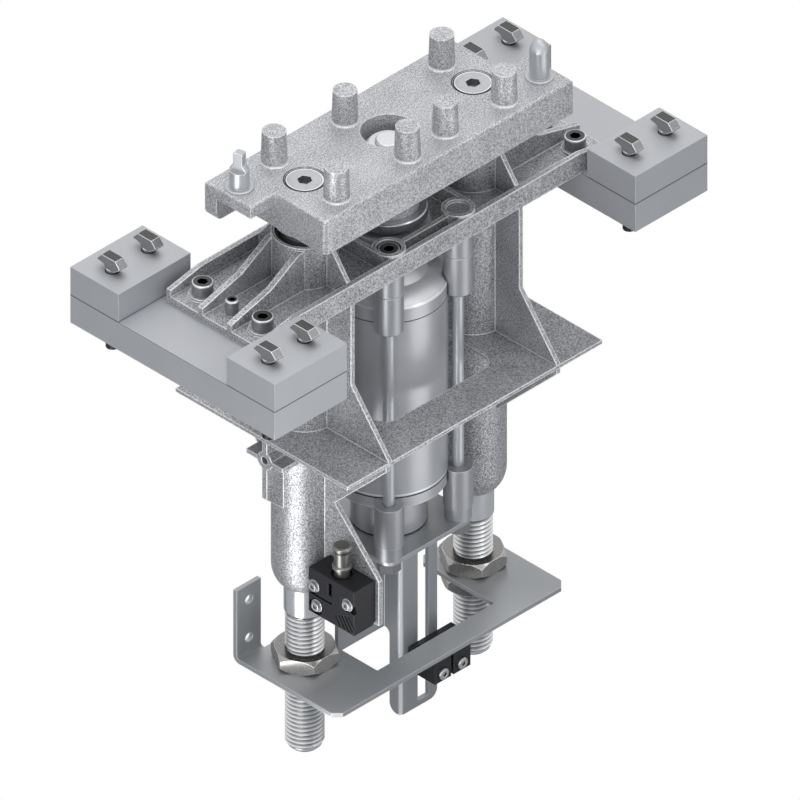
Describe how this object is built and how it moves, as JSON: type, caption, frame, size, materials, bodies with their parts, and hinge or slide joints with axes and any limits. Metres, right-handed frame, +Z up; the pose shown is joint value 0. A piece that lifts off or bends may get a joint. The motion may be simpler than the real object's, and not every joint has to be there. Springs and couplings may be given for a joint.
{
  "type": "lift positioning unit",
  "caption": "Pneumatic lift that raises and locates a pallet on a conveyor: ribbed top plate with rest bosses and pins, guide rods, cast frame, cylinder, sensor mounts.",
  "frame": {"origin": "on the lifting axis, in the plane of the spacer blocks' top faces, where the conveyor's beams are clamped", "axes": "+X along the unit, +Z up in the direction of lift, the sensor side faces -Y"},
  "size_m": [0.36, 0.17, 0.4355],
  "materials": {
    "cast_aluminium": "as-cast, finely speckled",
    "milled_plate": "milled, satin",
    "machined_steel": "turned, satin",
    "bolt_steel": "zinc plated",
    "black_oxide": "black oxide",
    "lock_nut_steel": "plain steel",
    "cylinder_aluminium": "satin turned",
    "sheet_metal": "zinc-plated sheet",
    "black_plastic": "moulded, matt",
    "black_rubber": "nitrile",
    "bush_bronze": "sintered bronze",
    "sensor_nickel": "nickel plated"
  },
  "bodies": {
    "base": {"base_casting": "cast_aluminium", "left_cross_plate": "milled_plate", "right_cross_plate": "milled_plate", "spacer_blocks": "milled_plate", "conveyor_t_bolts": "bolt_steel", "t_bolt_washers": "bolt_steel", "t_bolt_nuts": "bolt_steel", "casting_cap_screws": "black_oxide", "dowel_pins": "machined_steel", "guide_bushes": "bush_bronze", "rod_wipers": "black_rubber", "cylinder_tube": "cylinder_aluminium", "cylinder_top_cap": "cylinder_aluminium", "cylinder_bottom_cap": "cylinder_aluminium", "cylinder_o_rings": "black_rubber", "tie_rods": "machined_steel", "tie_rod_nuts": "machined_steel", "upper_tie_rod_sleeves": "cylinder_aluminium", "lower_tie_rod_sleeves": "cylinder_aluminium", "cylinder_cap_screws": "black_oxide", "cylinder_studs": "machined_steel", "rod_gland_bush": "bush_bronze", "rod_gland_seal": "black_rubber", "cylinder_bracket": "sheet_metal", "sensor_rail": "sheet_metal", "rail_sensor_clamp": "black_plastic", "rail_clamp_screws": "machined_steel", "rail_slide_nut": "machined_steel", "rail_sensor": "black_plastic", "arm_sensor_block": "black_plastic", "arm_clamp_washers": "machined_steel", "arm_clamp_screws": "machined_steel", "arm_sensor": "sensor_nickel"},
    "lift": {"top_plate": "cast_aluminium", "round_locating_pin": "machined_steel", "flat_locating_pin": "machined_steel", "countersunk_screws": "machined_steel", "left_guide_rod": "machined_steel", "right_guide_rod": "machined_steel", "piston_rod": "machined_steel", "rod_disc": "machined_steel", "rod_end_nut": "machined_steel", "piston": "cylinder_aluminium", "piston_seals": "black_rubber", "piston_nut": "machined_steel", "connecting_plate": "sheet_metal", "upper_lock_nuts": "lock_nut_steel", "lower_lock_nuts": "lock_nut_steel"}
  },
  "joints": [
    {"name": "lift_stroke", "type": "slide", "parent": "base", "child": "lift", "axis": [0, 0, 1], "range_m": [0, 0.042]}
  ]
}
